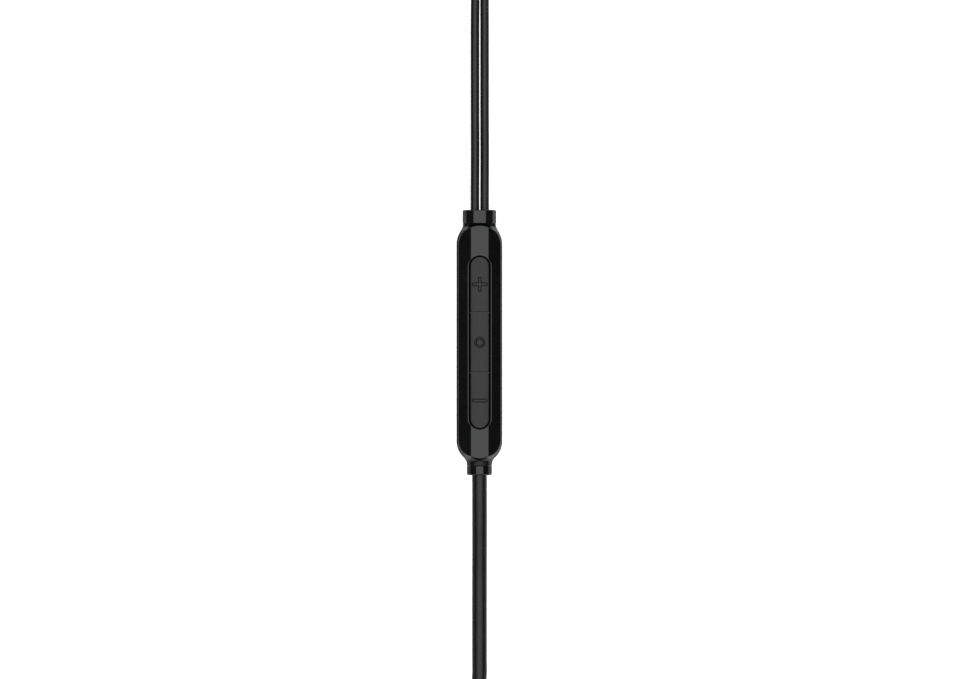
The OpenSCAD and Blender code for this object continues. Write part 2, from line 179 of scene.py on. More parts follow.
def tube(name, line, diameter, sides=16):
    """A cord: a mesh tube along the line, its rings closer together where it bends. Gives the object and its path in metres."""
    fine = even(line, 0.12)
    heading = np.gradient(fine, axis=0)
    heading /= np.linalg.norm(heading, axis=1)[:, None]
    keep, turned, gone = [0, 1], 0.0, 0.0           # a second ring right at each end, so that the end's shading stays there
    for i in range(2, len(fine) - 2):
        turned += math.acos(min(1.0, float(heading[i] @ heading[i - 1])))
        gone += 0.12
        if turned > math.radians(4.5) or gone > 2.2:
            keep.append(i)
            turned = gone = 0.0
    keep += [len(fine) - 2, len(fine) - 1]
    pts, head = fine[keep], heading[keep]
    n = len(pts)
    verts, up = [], np.array([0.0, 0.0, 1.0])
    angle = np.arange(sides) * 2 * math.pi / sides
    for p, t in zip(pts, head):
        up = up - t * (up @ t)                    # the ring turns as little as it can from one point to the next
        up /= np.linalg.norm(up)
        a = np.cross(t, up)
        verts.append(p + diameter / 2 * (np.cos(angle)[:, None] * a + np.sin(angle)[:, None] * up))
    verts = np.concatenate(verts) * MM
    faces = [(i * sides + k, (i + 1) * sides + k, (i + 1) * sides + (k + 1) % sides, i * sides + (k + 1) % sides)
             for i in range(n - 1) for k in range(sides)]
    faces += [tuple(range(sides)), tuple((n - 1) * sides + k for k in reversed(range(sides)))]
    mesh = bpy.data.meshes.new(name)
    mesh.from_pydata(verts.tolist(), [], faces)
    work = bmesh.new()
    work.from_mesh(mesh)
    bmesh.ops.recalc_face_normals(work, faces=work.faces)
    work.to_mesh(mesh)
    work.free()
    mesh.polygons.foreach_set("use_smooth", np.ones(len(mesh.polygons), bool))
    obj = bpy.data.objects.new(name, mesh)
    scene.collection.objects.link(obj)
    return obj, (pts * MM).tolist()


UPPER_D, LOWER_D = 1.47, 2.5
X = 0.83
HX = -2.9                                     # the lower hank's middle, to the side of the remote's line
UX = -2.15                                    # the same of the upper hank and the earbuds
left_route = [(-X, TOP, MID), (-X, 25, MID), (-X, 28.5, 2.7), (-X, 32, 2.1), (-X, 35.5, 1.35), (-X, 39, 0.85),
              (-X, 43, 0.74), (-X, 47, 0.74), (-X, 51, 0.74), (-X, 55, 0.74), (-X, 59, 0.74), (-1.4, 62.1, 0.74),
              (-2.9, 64.8, 0.74), (-4.8, 66.5, 0.74), (-6.6, 68.2, 0.74), (-8.2, 70.9, 0.74), (-8.75, 74, 0.74)]
right_route = [(X, TOP, MID), (X, 25, MID), (X, 28.5, 2.7), (X, 32, 2.1), (X, 35.5, 1.35), (X, 39, 0.85),
               (X, 43, 0.74), (X, 47, 0.74), (X, 51, 0.74), (X, 55, 0.74), (X, 58.6, 0.8), (1.1, 61.5, 1.75),
               (1.9, 64.3, 3.1), (3.1, 67.6, 3.65), (4.2, 71, 3.68), (4.45, 74, 3.68)]
left_tail = [(-8.79, 87, 2.2), (-8.79, 90.5, 2.35), (-8.75, 94, 3.6), (-8.55, 97.3, 5.5), (-8.55, 99.2, 6), (-8.55, 101, 6)]
right_tail = [(4.49, 87, 5.15), (4.49, 90.5, 5.2), (4.45, 94, 5.45), (4.25, 97.3, 5.9), (4.25, 99.2, 6), (4.25, 101, 6)]
lower_route = [(0, LOW, MID), (0, -26, MID), (0, -30, 2.6), (0, -34.5, 1.9), (0, -39, 1.38), (0, -44, 1.25),
               (0, -49, 1.25), (0, -54, 1.25), (0, -57, 1.25), (-0.35, -59.4, 1.25), (-1.9, -62.4, 1.25), (-5.6, -65.9, 1.25),
               (-9.7, -69.6, 1.25), (-12.4, -74.3, 1.25), (-13.4, -80, 1.25)]
lower_tail = [(-13.4, -100, 3.75), (-13.4, -105, 3.7), (-12.3, -110, 3.2), (-9.4, -114.5, 2.2), (-5.4, -117.2, 1.5),
              (-0.6, -118.1, 1.26), (4.1, -117.2, 1.4), (8.3, -114.5, 1.9), (11.1, -110.5, 2.7), (12.25, -106.5, 3.2),
              (12.25, -104, 3.2)]


def nudged(route, near, far):
    """The route moved sideways, by near at the gland and by far where the cord lies down, and back at the hank."""
    out = []
    for x, y, z in route:
        move = near + (far - near) * float(smooth01((abs(y) - 25) / 9))
        out.append((x + move * (1 - float(smooth01((abs(y) - 58) / 14))), y, z))
    return out


left_route, right_route, lower_route = nudged(left_route, 0.06, 0.11), nudged(right_route, 0.06, 0.11), nudged(lower_route, 0.02, 0.05)


def upper_line(route, tail, low, high, turn_side):
    """One upper cord: its route, five turns and a leg in the hank, and its end going to the earbud."""
    slots = [(6.64, low), (5.17, low), (3.7, low), (3.7, high), (5.17, high), (6.64, high)]
    turns = hank(slots, 73.375, 88.025, 0.032, (80.7, 7.3, 2.9, 0.6, 5.3 / 5.9), UX, turn_side)
    start = [(route[0][0], TOP - 0.7, MID)] + list(route)
    end = list(tail) + [(tail[-1][0], tail[-1][1] + 1.2, tail[-1][2])]
    return joined(dense(start), turns[:-2], dense(end[1:]))


left_line = upper_line(left_route, left_tail, 0.735, 2.205, -1)
right_line = upper_line(right_route, right_tail, 3.675, 5.145, 1)
low_slots = [(10.5, 1.25), (8, 1.25), (5.5, 1.25), (5.5, 3.75), (5.5, 6.25), (8, 6.25), (8, 3.75), (10.5, 3.75)]
low_turns = hank(low_slots, -78.75, -101.25, 0.03, (-90, 11.2, 4.1, 0.8, 6.7 / 7.5), HX, -1)
lower_line = joined(dense([(0, LOW + 0.7, MID)] + lower_route), low_turns[:-2], dense(lower_tail[1:] + [(12.25, -102.8, 3.2)]))

left_cord, left_path = tube("left_cord_run", left_line, UPPER_D)
right_cord, right_path = tube("right_cord_run", right_line, UPPER_D)
lower_cord, lower_path = tube("lower_cord_run", lower_line, LOWER_D, 20)
for piece, names in ((left_cord, ("left_cord", "left_tail", "upper_hank")),
                     (right_cord, ("right_cord", "right_tail", "upper_hank")),
                     (lower_cord, ("lower_cord", "lower_tail", "lower_hank"))):
    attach(piece, "base")
    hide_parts(*names)
    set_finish(piece, "cord_jacket")


# ---------------------------------------------------------------- mesh tools

def link(obj, body, slot=None, replaces=()):
    if obj.name not in scene.collection.objects:
        scene.collection.objects.link(obj)
    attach(obj, body)
    if slot:
        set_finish(obj, slot)
    if replaces:
        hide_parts(*replaces)
    return obj


def mesh_object(name, verts, faces, normals=None):
    """An object from points in mm, smooth shaded, with its own normals if they are given."""
    mesh = bpy.data.meshes.new(name)
    mesh.from_pydata((np.asarray(verts) * MM).tolist(), [], [tuple(int(i) for i in f) for f in faces])
    mesh.validate()
    mesh.shade_smooth()
    if normals is not None:
        mesh.normals_split_custom_set_from_vertices([tuple(n) for n in np.asarray(normals, float)])
    obj = bpy.data.objects.new(name, mesh)
    scene.collection.objects.link(obj)
    return obj


def both(a, b, r=0.0):
    """The solid where a and b overlap, its edge rounded with radius r."""
    if np.max(r) <= 0:
        return np.maximum(a, b)
    return np.minimum(np.maximum(a, b), -r) + np.hypot(np.maximum(a + r, 0), np.maximum(b + r, 0))


def either(a, b, r=0.0):
    """The two solids together, with a fillet of radius r where they meet."""
    return -both(-a, -b, r)


def box3(x, y, z, hx, hy, hz, r=0.0):
    """A box of half sides hx, hy, hz."""
    return both(both(np.abs(x) - hx, np.abs(y) - hy, r), np.abs(z) - hz, r)


def stadium(x, y, radius, straight):
    return np.hypot(x, np.maximum(np.abs(y) - straight, 0)) - radius


def facets(x, z, f, b, bz, h, r):
    """A flat front and rear of half width f, with slanted facets out to (b, bz)."""
    ax, az = np.abs(x), np.abs(z)
    n = math.hypot(h - bz, b - f)
    return both(az - h, ((ax - f) * (h - bz) + (az - h) * (b - f)) / n, r)


def flank(z, b, bz, s, start):
    """How far out a curved side is at each height, from (b, bz), where its slope is start, to (s, 0); and its slope there."""
    end = 2 * bz / (s - b) - start
    a = (end - start) / (2 * (s - b))
    u = (-start + np.sqrt(start * start + 4 * a * np.maximum(bz - np.abs(z), 0))) / (2 * a)
    return b + u - 0.06 * np.maximum(np.abs(z) - bz, 0), start + 2 * a * u


def section(x, z, f, b, bz, s, h, r, start):
    """A bar with facets() and curved sides out to s."""
    out, slope = flank(z, b, bz, s, start)
    return both(facets(x, z, f, b, bz, h, r), (np.abs(x) - out) * slope / np.sqrt(1 + slope * slope), r)


def oval(x, z, half_x, half_z, power=2.5):
    """A bar with a rounded, nearly oval section."""
    k = (np.abs(x / half_x) ** power + np.abs(z / half_z) ** power + 1e-9) ** (1 / power)
    return (k - 1) * min(half_x, half_z)


def spans(*parts):
    """Grid lines from (start, end, step) parts that follow on each other."""
    out = []
    for a, b, step in parts:
        n = max(1, int(round((b - a) / step)))
        out += list(np.linspace(a, b, n, endpoint=False))
    out.append(parts[-1][1])
    return np.array(out)


def mirrored(*parts):
    """Grid lines that are the same on both sides of zero."""
    half = spans(*parts)
    return np.concatenate([-half[:0:-1], half]) if half[0] == 0 else np.concatenate([-half[::-1], half])


def skin(name, f, xs, ys, zs, steps=5):
    """The surface where f is zero, as quads on a rectangular grid, each point moved onto the surface."""
    X3, Y3, Z3 = np.meshgrid(xs, ys, zs, indexing="ij")
    F = f(X3, Y3, Z3)
    axes = (xs, ys, zs)
    shape = tuple(n - 1 for n in F.shape)
    total = int(np.prod(shape))
    acc, cnt = np.zeros((total, 3)), np.zeros(total)
    quads = []
    for axis in range(3):
        A = np.take(F, range(F.shape[axis] - 1), axis)
        B = np.take(F, range(1, F.shape[axis]), axis)
        ijk = np.nonzero((A < 0) != (B < 0))
        a, b = A[ijk], B[ijk]
        t = a / (a - b)
        at = np.stack([axes[d][ijk[d]] for d in range(3)], axis=1)
        step = axes[axis][ijk[axis] + 1] - axes[axis][ijk[axis]]
        at[:, axis] += t * step
        d1, d2 = (axis + 1) % 3, (axis + 2) % 3
        cells, good = [], np.ones(len(a), bool)
        for o1, o2 in ((-1, -1), (0, -1), (0, 0), (-1, 0)):
            c = [np.array(v) for v in ijk]
            c[d1] = c[d1] + o1
            c[d2] = c[d2] + o2
            ok = (c[d1] >= 0) & (c[d1] < shape[d1]) & (c[d2] >= 0) & (c[d2] < shape[d2])
            good &= ok
            flat = (np.clip(c[0], 0, shape[0] - 1) * shape[1] + np.clip(c[1], 0, shape[1] - 1)) * shape[2] + np.clip(c[2], 0, shape[2] - 1)
            for d in range(3):
                acc[:, d] += np.bincount(flat[ok], at[ok, d], total)
            cnt += np.bincount(flat[ok], minlength=total)
            cells.append(flat)
        q = np.stack(cells, axis=1)[good]
        out = (a < 0)[good]
        q[~out] = q[~out][:, ::-1]
        quads.append(q)
    quads = np.concatenate(quads)
    used, faces = np.unique(quads, return_inverse=True)
    faces = faces.reshape(-1, 4)
    p = acc[used] / cnt[used][:, None]
    ci = np.unravel_index(used, shape)
    low = np.stack([axes[d][ci[d]] for d in range(3)], axis=1)
    high = np.stack([axes[d][ci[d] + 1] for d in range(3)], axis=1)

    def gradient(q, e=0.004):
        g = []
        for d in range(3):
            o = np.zeros(3)
            o[d] = e
            g.append((f(*(q + o).T) - f(*(q - o).T)) / (2 * e))
        return np.stack(g, axis=1)

    for _ in range(steps):
        g = gradient(p)
        n2 = np.maximum((g * g).sum(1), 1e-6)
        move = -(f(*p.T) / n2)[:, None] * g
        size = np.linalg.norm(move, axis=1)
        move *= np.minimum(1.0, 0.08 / np.maximum(size, 1e-9))[:, None]
        p = np.clip(p + move, low - 0.02, high + 0.02)
    g = gradient(p, 0.012)
    g /= np.maximum(np.linalg.norm(g, axis=1), 1e-9)[:, None]
    return mesh_object(name, p, faces, g)


def rounded(points, r=0.15, n=4):
    """A closed outline of (radius, distance) points with its corners rounded. A point may bring its own radius as a third number."""
    out = []
    count = len(points)
    for i in range(count):
        p = np.array(points[i][:2], float)
        a, b = np.array(points[i - 1][:2], float), np.array(points[(i + 1) % count][:2], float)
        rr = points[i][2] if len(points[i]) > 2 else r
        la, lb = np.linalg.norm(a - p), np.linalg.norm(b - p)
        if p[0] < 1e-6 or rr <= 0 or la < 1e-6 or lb < 1e-6:
            out.append(p)
            continue
        ua, ub = (a - p) / la, (b - p) / lb
        angle = math.acos(max(-1.0, min(1.0, float(ua @ ub))))
        if angle > math.pi - 0.02:
            out.append(p)
            continue
        cut = min(rr / math.tan(angle / 2), 0.45 * la, 0.45 * lb)
        s, e = p + ua * cut, p + ub * cut
        for t in np.linspace(0, 1, n + 1):
            out.append((1 - t) ** 2 * s + 2 * t * (1 - t) * p + t * t * e)
    return out


def bowed(*points):
    """A smooth curve through (radius, distance) points, to be used in an outline for rounded()."""
    return [(float(q[0]), float(q[1]), 0.0) for q in dense([(r, y, 0.0) for r, y in points], 0.32)]


def finer(points, step):
    """An outline with extra points on its long edges."""
    out = []
    for i, p in enumerate(points):
        q = points[(i + 1) % len(points)]
        n = max(1, int(math.ceil(math.hypot(q[0] - p[0], q[1] - p[1]) / step)))
        if p[0] < 1e-6 and q[0] < 1e-6:
            n = 1
        out += [(p[0] + (q[0] - p[0]) * t / n, p[1] + (q[1] - p[1]) * t / n) for t in range(n)]
    return out


def lathe(name, points, x, z, y0=0.0, segs=64, change=None, sharp=False):
    """A closed outline of (radius, distance along Y) points turned round an axis along Y through (x, z).
    change(radius, y, angle) may move the radius, for flutes and ribs."""
    verts, rings, faces = [], [], []
    angles = np.linspace(0, 2 * math.pi, segs, endpoint=False)
    for r, y in points:
        if r < 1e-6:
            rings.append([len(verts)])
            verts.append((x, y0 + y, z))
        else:
            rr = change(r, y, angles) if change else np.full(segs, r)
            rings.append(list(range(len(verts), len(verts) + segs)))
            verts += [(x + a * math.cos(t), y0 + y, z + a * math.sin(t)) for a, t in zip(rr, angles)]
    for i in range(len(points)):
        a, b = rings[i], rings[(i + 1) % len(rings)]
        if len(a) == 1 and len(b) == 1:
            continue
        for k in range(segs):
            m = (k + 1) % segs
            if len(a) == 1:
                faces.append((a[0], b[m], b[k]))
            elif len(b) == 1:
                faces.append((a[k], a[m], b[0]))
            else:
                faces.append((a[k], a[m], b[m], b[k]))
    obj = mesh_object(name, verts, faces)
    tidy(obj, not sharp)
    return obj


def tidy(obj, weighted=True):
    """Normals all outwards, doubles gone, flats kept flat in the shading."""
    bm = bmesh.new()
    bm.from_mesh(obj.data)
    bmesh.ops.remove_doubles(bm, verts=bm.verts, dist=2e-7)
    bmesh.ops.recalc_face_normals(bm, faces=bm.faces)
    bm.to_mesh(obj.data)
    bm.free()
    obj.data.shade_smooth()
    if weighted:
        mod = obj.modifiers.new("flat_shading", "WEIGHTED_NORMAL")
        mod.mode = "FACE_AREA"
        mod.weight = 50
    return obj


def rods(name, lines, radius, sides=8):
    """Round rods with closed ends along several lines, as one mesh. Each line is an array of points."""
    verts, faces = [], []
    for line in lines:
        line = np.asarray(line, float)
        base = len(verts)
        for i, p in enumerate(line):
            t = line[min(i + 1, len(line) - 1)] - line[max(i - 1, 0)]
            t /= np.linalg.norm(t)
            ref = np.array([0, 0, 1.0]) if abs(t[2]) < 0.9 else np.array([1.0, 0, 0])
            a = np.cross(t, ref)
            a /= np.linalg.norm(a)
            b = np.cross(t, a)
            for k in range(sides):
                w = 2 * math.pi * k / sides
                verts.append(tuple(p + radius * (math.cos(w) * a + math.sin(w) * b)))
        for i in range(len(line) - 1):
            for k in range(sides):
                m = (k + 1) % sides
                q = base + i * sides
                faces.append((q + k, q + m, q + sides + m, q + sides + k))
        faces.append(tuple(base + k for k in range(sides)))
        end = base + (len(line) - 1) * sides
        faces.append(tuple(end + k for k in reversed(range(sides))))
    return tidy(mesh_object(name, verts, faces), False)


# ---------------------------------------------------------------- the remote's two covers

def body(x, y, z):
    """The outside of both covers together. z is from the parting line."""
    t = 1 - np.abs(z) / 2.9
    c = np.where(y > 0, 16.22 + 0.5 * t, 16.03 + 0.7 * t)
    past = np.maximum(np.abs(y) - c, 0)
    turn = smooth01(past / 3)
    out = flank(z, 3.57, 1.684, 3.9, 2.2)[0] * (1 - turn) + (3.59 + 0.31 * t) * turn
    d = both(facets(x, z, 1.44, 3.49, 1.73, 2.9, 0.05), (np.hypot(x, past) - out) * 0.97, 0.06)
    neck = both(section(x, z, 0.57, 1.43, 1.24, 2.16, 1.72, 0.05, 1.05), y + 17, 0.3)
    d = np.where(y < -10, either(d, neck, 0.5), d)
    root = both(oval(x, z, 2.81, 1.55, 2.8), 17 - y, 0.3)
    d = np.where(y > 10, either(d, root, 0.35), d)
    return both(both(d, -20.95 - y, 0.04), y - 20.17, 0.03)


def ramp(y):
    """The height of the ramp over the parting line, a little steeper toward the body."""
    u = y + 20.95
    return 1.6 + 0.372 * u + 0.025 * u * u


def tongue(x, y, z):
    """The arched ramp on the front, from the lower sleeve up to the body's end."""
    plan = np.hypot(x, np.maximum(y + 21.57, 0)) - 1.45
    top = z - ramp(y) + x * x / 7
    return both(both(plan, top * 0.94, 0.12), -z)


def hollow(x, y, z):
    """The room inside and the passages of the two glands. z is from the parting line."""
    room = both(section(x, z, 1.3, 2.75, 1.1, 2.95, 2.0, 0.1, 3.0), np.abs(y) - 17.2, 0.1)
    top = box3(x, y - 19, z, 1.83, 3, 1.23)
    low = box3(x, y + 19, z, 1.43, 3, 1.13)
    return np.minimum(np.minimum(room, top), low)


def front_cover(x, y, z):
    z = z - MID
    outside = body(x, y, z)
    pocket = both(np.hypot(x, np.maximum(y + 21.57, 0)) - 1.55, ramp(y) - 0.27 - z)
    outside = np.where(y < -19, both(np.minimum(both(outside, -pocket, 0.03), tongue(x, y, z)), -20.95 - y, 0.04), outside)
    lip = 0.28 - 0.16 * smooth01((np.abs(y) - 13.3) / 0.9)
    d = both(outside, -stadium(x, y, 1.785, 12.905), lip)
    d = np.where(z > 0.5, d, outside)
    d = both(d, -hollow(x, y, z))
    return both(d, 0.006 - z, 0.05)


def rear_cover(x, y, z):
    z = z - MID
    d = both(body(x, y, z), -hollow(x, y, z))
    rails = both(box3(np.abs(x) - 2.1, y, z + 1.5, 0.3, 11, 0.5), body(x, y, z))
    d = np.minimum(d, rails)
    port = np.where(z < -1.2, np.hypot(x, y + 12.7) - 0.45, 1.0)
    d = both(d, -port, 0.08)
    return both(d, z + 0.006, 0.05)


cover_x = mirrored((0, 0.4, 0.2), (0.4, 1.4, 0.125), (1.4, 2.3, 0.075), (2.3, 3.2, 0.1), (3.2, 3.95, 0.075))
cover_y = spans((-21.2, -12.6, 0.115), (-12.6, 12.6, 0.9), (12.6, 20.7, 0.115))
front = skin("front_cover_shell", front_cover, cover_x, cover_y, spans((2.84, 3.0, 0.04), (3.0, 5.96, 0.105)))
link(front, "base", "shell_gloss", ["front_cover"])
rear_y = spans((-21.2, -15.4, 0.13), (-15.4, -13.3, 0.3), (-13.3, -12.1, 0.09), (-12.1, 15.4, 0.9), (15.4, 20.7, 0.13))
rear = skin("rear_cover_shell", rear_cover, mirrored((0, 0.7, 0.09), (0.7, 2.5, 0.15), (2.5, 3.95, 0.09)), rear_y,
            spans((-0.12, 2.8, 0.11), (2.8, 2.96, 0.04)))
link(rear, "base", "shell_gloss", ["rear_cover"])


# ---------------------------------------------------------------- keys

def capsule(x, y, hx, hy, r):
    return np.hypot(np.maximum(np.abs(x) - hx, 0), np.maximum(np.abs(y) - hy, 0)) - r


def plus(x, y):
    return np.minimum(capsule(x, y + 0.03, 1.035, 0, 0.185), capsule(x, y + 0.04, 0, 1.0, 0.16))


def minus(x, y):
    return capsule(x, y - 0.02, 1.01, 0, 0.18)


def ring(x, y):
    return np.abs(np.hypot(x, y) - 0.72) - 0.09


def key_solid(low, high, stem, mark, nubs):
    """One key from low to high along Y: its crowned top with a raised mark, the flange under the cover and the stem."""
    def f(x, y, z):
        crown = 5.85 - 6.6 + np.sqrt(np.maximum(6.6 ** 2 - x * x, 1))
        m = mark(x, y - stem)
        raised = 0.09 * smooth01((0.025 - m) / 0.06) - 0.1 * smooth01(1 - np.abs(m - 0.07) / 0.075)
        band = both(stadium(x, y, 1.555, 12.965), (z - crown - raised) * 0.8, 0.09)
        band = both(band, 3.75 - z)
        middle, half = (low + high) / 2, (high - low) / 2
        band = both(band, np.abs(y - middle) - half, 0.025)
        if nubs:
            band = either(band, box3(np.abs(x) - 1.5, y - high + 0.16, z - 4.93, 0.21, 0.1, 0.76, 0.04), 0.02)
        flange = box3(x, y - (max(low, -14.8) + min(high, 14.8)) / 2, z - 3.95, 2.3,
                      (min(high, 14.8) - max(low, -14.8)) / 2, 0.2, 0.04)
        post = both(np.hypot(x, y - stem) - 0.6, np.abs(z - 3.6) - 0.6, 0.06)
        return either(np.minimum(band, flange), post, 0.05)
    return f


for name, node, body_name, low, high, stem, mark, nubs, reach, tall in (
        ("volume_up_cap", "volume_up_key", "volume_up", 5.292, 14.6, 9.9, plus, False, 1.4, 1.4),
        ("call_cap", "call_key", "call", -4.928, 5.268, 0.02, ring, True, 1.08, 1.08),
        ("volume_down_cap", "volume_down_key", "volume_down", -14.6, -4.952, -9.86, minus, True, 1.35, 0.4)):
    ys = [(low - 0.06 if low > -10 else -14.9, low + 0.3 if low > -10 else -12.6, 0.05 if low > -10 else 0.09)]
    ys += [(ys[0][1], stem - tall, 0.4), (stem - tall, stem + tall, 0.034)]
    if high < 10:
        ys += [(stem + tall, high - 0.4, 0.4), (high - 0.4, high + 0.06, 0.05)]
    else:
        ys += [(stem + tall, 12.6, 0.4), (12.6, 14.9, 0.09)]
    key = skin(name, key_solid(low, high, stem, mark, nubs),
               mirrored((0, reach, 0.034), (reach, 1.75, 0.05), (1.75, 2.4, 0.13)), spans(*ys),
               spans((2.9, 3.1, 0.1), (3.1, 3.7, 0.2), (3.7, 4.3, 0.1), (4.3, 5.5, 0.24), (5.5, 6.0, 0.05)))
    link(key, body_name, "key_satin", [node])


# ---------------------------------------------------------------- glands

def upper_gland(x, y, z):
    z = z - MID
    d = both(section(x, z, 1.0, 2.16, 1.53, 2.86, 2.2, 0.06, 1.25), np.abs(y - 21.35) - 1.17, 0.18)
    seats = np.minimum(np.hypot(x - X - 0.06, z), np.hypot(x + X - 0.06, z)) - 0.765
    d = both(d, -both(seats, 22.0 - y), 0.04)
    d = np.minimum(d, box3(x, y - 18.6, z, 1.8, 2.0, 1.2, 0.05))
    return np.minimum(d, box3(x, y - 16.9, z, 2.3, 0.3, 1.5, 0.08))


def lower_gland(x, y, z):
    z = z - MID
    d = both(section(x, z, 0.57, 1.43, 1.24, 2.14, 1.75, 0.05, 1.05), -22.54 - y, 0.28)
    d = both(d, y + 20.97, 0.12)
    d = both(d, -both(np.hypot(x, z) - 1.275, y + 22.05), 0.04)
    d = np.minimum(d, box3(x, y + 18.9, z, 1.4, 2.3, 1.1, 0.05))
    return np.minimum(d, box3(x, y + 16.9, z, 2.1, 0.3, 1.4, 0.08))


gland_top = skin("upper_gland_sleeve", upper_gland, mirrored((0, 3.0, 0.075)), spans((16.5, 17.3, 0.1), (17.3, 20.2, 0.4), (20.2, 22.65, 0.075)),
                 spans((0.55, 5.25, 0.078)))
link(gland_top, "base", "gland_gloss", ["upper_gland"])
gland_low = skin("lower_gland_sleeve", lower_gland, mirrored((0, 2.25, 0.07)), spans((-22.65, -20.8, 0.07), (-20.8, -17.3, 0.4), (-17.3, -16.5, 0.1)),
                 spans((1.0, 4.8, 0.07)))
link(gland_low, "base", "gland_gloss", ["lower_gland"])


# ---------------------------------------------------------------- earbuds

BUD_Y, BUD_Z, PLUG_X, PLUG_Z, PIN_Y = 101.0, 6.0, 12.25, 3.2, -79.0

for label, x in (("left", UX - 6.4), ("right", UX + 6.4)):
    sleeve = [(0, 0.6, 0), (0.76, 0.6, 0.0), (0.8, 0.0, 0.1), (1.28, 0.0, 0.2)]
    for i in range(6):                                    # grooves that let the sleeve bend
        y = 1.0 + 0.95 * i
        r = 1.3 + 0.7 * y / 9
        sleeve += [(r, y, 0.06), (r - 0.24, y + 0.06, 0.05), (r - 0.24, y + 0.36, 0.05), (r + 0.03, y + 0.42, 0.06)]
    sleeve += [(1.86, 7.2, 0.3), (2.0, 9.0, 0.08), (1.5, 9.0, 0.0), (1.5, 10.0, 0.0), (2.2, 10.0, 0.0), (2.2, 10.6, 0.1), (0, 10.6, 0)]
    piece = lathe(label + "_strain_relief", rounded(sleeve), x, BUD_Z, BUD_Y, 48)
    link(piece, "base", "bud_relief", [label + "_relief"])

    back_shell = [(1.52, 9.02, 0.03), (2.2, 9.02, 0.0), *bowed((2.35, 9.05), (3.05, 9.4), (3.95, 10.15), (4.75, 11.2), (5.32, 12.5), (5.66, 14.0),
                                                              (5.79, 15.5), (5.8, 16.9)),
                  (5.68, 17.02, 0.05), (5.68, 17.2, 0.05), (5.8, 17.27, 0.05), (5.8, 17.97, 0.09),
                  (5.0, 17.97, 0.03), (5.0, 14.6, 0.6), (4.4, 12.6, 0.8), (3.4, 11.2, 0.6), (2.2, 10.02, 0.1), (1.52, 10.02, 0.03)]
    piece = lathe(label + "_housing_back", finer(rounded(back_shell, 0.1, 4), 0.8), x, BUD_Z, BUD_Y, 80)
    link(piece, "base", "bud_shell", [label + "_rear_shell"])

    front_half = [(5.0, 18.03, 0.02), (5.7, 18.03, 0.0), *bowed((5.78, 18.08), (5.8, 18.8), (5.72, 19.8), (5.4, 20.8), (4.8, 21.6), (4.0, 22.2),
                                                               (3.3, 22.6), (2.82, 23.0), (2.62, 23.5)), (2.6, 24.2, 0.0), (2.6, 27.4, 0.06), (2.85, 27.5, 0.06), (2.85, 28.18, 0.12), (1.92, 28.18, 0.1), (1.92, 22.65, 0.3),
                  (3.4, 21.6, 0.4), (4.6, 20.4, 0.5), (5.0, 19.4, 0.3)]
    piece = lathe(label + "_housing_front", finer(rounded(front_half, 0.1, 4), 0.8), x, BUD_Z, BUD_Y, 80)
    link(piece, "base", "bud_front", [label + "_front_shell"])

    wires = []                                            # woven steel mesh over the nozzle
    pitch = 0.235
    for i in range(-8, 9):
        o = i * pitch
        if abs(o) > 1.84:
            continue
        reach = math.sqrt(1.9 ** 2 - o * o)
        s = np.linspace(-reach, reach, max(8, int(reach / 0.06)))
        wave = 0.045 * np.cos(s / pitch * math.pi) * (1 if i % 2 else -1)
        wires.append(np.stack([x + s, np.full_like(s, BUD_Y + 28.0) + wave, np.full_like(s, BUD_Z + o)], axis=1))
        wires.append(np.stack([np.full_like(s, x + o), np.full_like(s, BUD_Y + 28.0) - 0.045 * np.cos(s / pitch * math.pi) * (1 if i % 2 else -1)
                               , BUD_Z + s], axis=1))
    piece = rods(label + "_nozzle_weave", wires, 0.045, 6)
    link(piece, "base", "mesh_steel", [label + "_mesh"])

    vent = [(0, 0.0, 0), (0.78, 0.0, 0.0), (0.86, 0.1, 0.05), (0.86, 0.22, 0.06), (0.62, 0.22, 0.04), (0.58, 0.14, 0.03), (0, 0.14, 0)]
    vent_ring = lathe(label + "_vent", rounded(vent, 0.05), 0, 0, 0, 40)
    vent_ring.matrix_world = Matrix.Translation((x * MM, (BUD_Y + 14.0) * MM, (BUD_Z + 5.53) * MM)) @ Matrix.Rotation(math.radians(90 + 7.5), 4, "X")
    bpy.context.view_layer.update()
    vent_ring.data.transform(vent_ring.matrix_world)
    vent_ring.matrix_world = Matrix.Identity(4)
    link(vent_ring, "base", "mesh_steel")

    tip = [(2.9, 23.72, 0.2), (3.45, 23.72, 0.2), (3.42, 28.3, 0.3), *bowed((3.75, 28.45), (4.3, 28.15), (4.85, 27.5), (5.25, 26.55), (5.46, 25.4),
                                                                           (5.52, 24.0)), (5.52, 23.56, 0.1), (5.84, 23.56, 0.12),
           *bowed((5.9, 23.8), (5.98, 24.8), (5.95, 25.9), (5.76, 27.0), (5.38, 28.05), (4.8, 28.95), (4.05, 29.65), (3.3, 30.08), (2.75, 30.2)),
           (2.4, 30.18, 0.12), (2.2, 29.9, 0.12), (2.2, 29.2, 0.2), (2.9, 28.6, 0.2)]
    piece = lathe(label + "_silicone_tip", finer(rounded(tip, 0.2, 4), 0.6), x, BUD_Z, BUD_Y, 80)
    link(piece, label + "_tip", "tip_silicone", [label + "_ear_tip"])

dot = lathe("left_side_dot", rounded([(0, 0, 0), (0.5, 0, 0.0), (0.42, 0.22, 0.2), (0, 0.26, 0)], 0.1, 6), 0, 0, 0, 32)
dot.data.transform(Matrix.Translation(((UX - 6.4) * MM, (BUD_Y + 16.0) * MM, (BUD_Z + 5.72) * MM)) @ Matrix.Rotation(math.radians(90), 4, "X"))
link(dot, "base", "bud_shell")


# ---------------------------------------------------------------- jack plug

def flutes(r, y, angle):
    """Shallow flutes along the grip, fading out at both ends."""
    y = y - 7.5
    depth = 0.16 * float(smooth01((y - 2.4) / 1.6)) * float(smooth01((15.4 - y) / 1.4))
    return r - depth * (0.5 + 0.5 * np.cos(14 * angle)) ** 1.5


